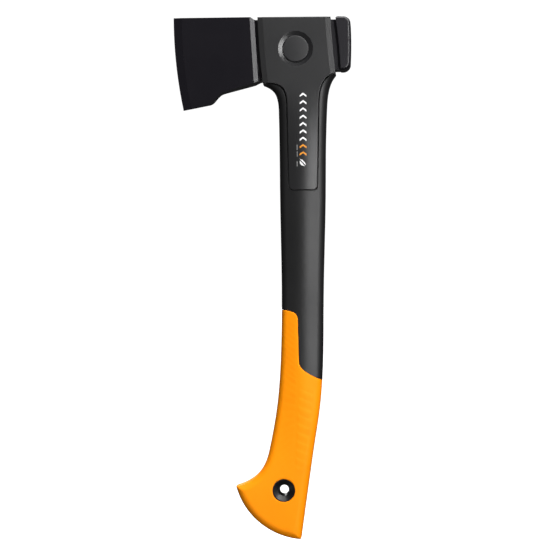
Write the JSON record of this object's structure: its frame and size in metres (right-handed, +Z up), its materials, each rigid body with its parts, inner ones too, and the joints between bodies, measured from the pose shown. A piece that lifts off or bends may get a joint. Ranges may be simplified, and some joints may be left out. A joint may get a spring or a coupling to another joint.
{
  "type": "axe",
  "caption": "One-hand wood-splitting axe: black forged head moulded into a hollow black composite handle, soft orange grip with a flared knob and a countersunk hanging hole.",
  "frame": {"origin": "Centre of the hanging hole in the knob, midway between the two sides of the axe.", "axes": "+Z runs up the shaft to the head, -X is towards the cutting edge and +X towards the poll, and +Y is the axe's right side, along the hanging hole."},
  "size_m": [0.1523, 0.0288, 0.4455],
  "materials": {
    "head_steel": "satin black low-friction coating over forged steel",
    "handle_composite": "fine satin moulded glass-filled nylon",
    "panel_composite": "satin moulded glass-filled nylon",
    "pin_steel": "plain ground steel",
    "cap_composite": "satin moulded nylon",
    "grip_rubber": "soft matte thermoplastic elastomer, bright orange",
    "eyelet_plastic": "smooth moulded black"
  },
  "bodies": {
    "root": {"axe_head": "head_steel", "handle_shaft": "handle_composite", "side_panel_left": "panel_composite", "side_panel_right": "panel_composite", "lock_pin": "pin_steel", "pin_cap_left": "cap_composite", "pin_cap_right": "cap_composite", "knob_core": "handle_composite", "grip_sleeve": "grip_rubber", "hang_eyelet": "eyelet_plastic"}
  },
  "joints": []
}
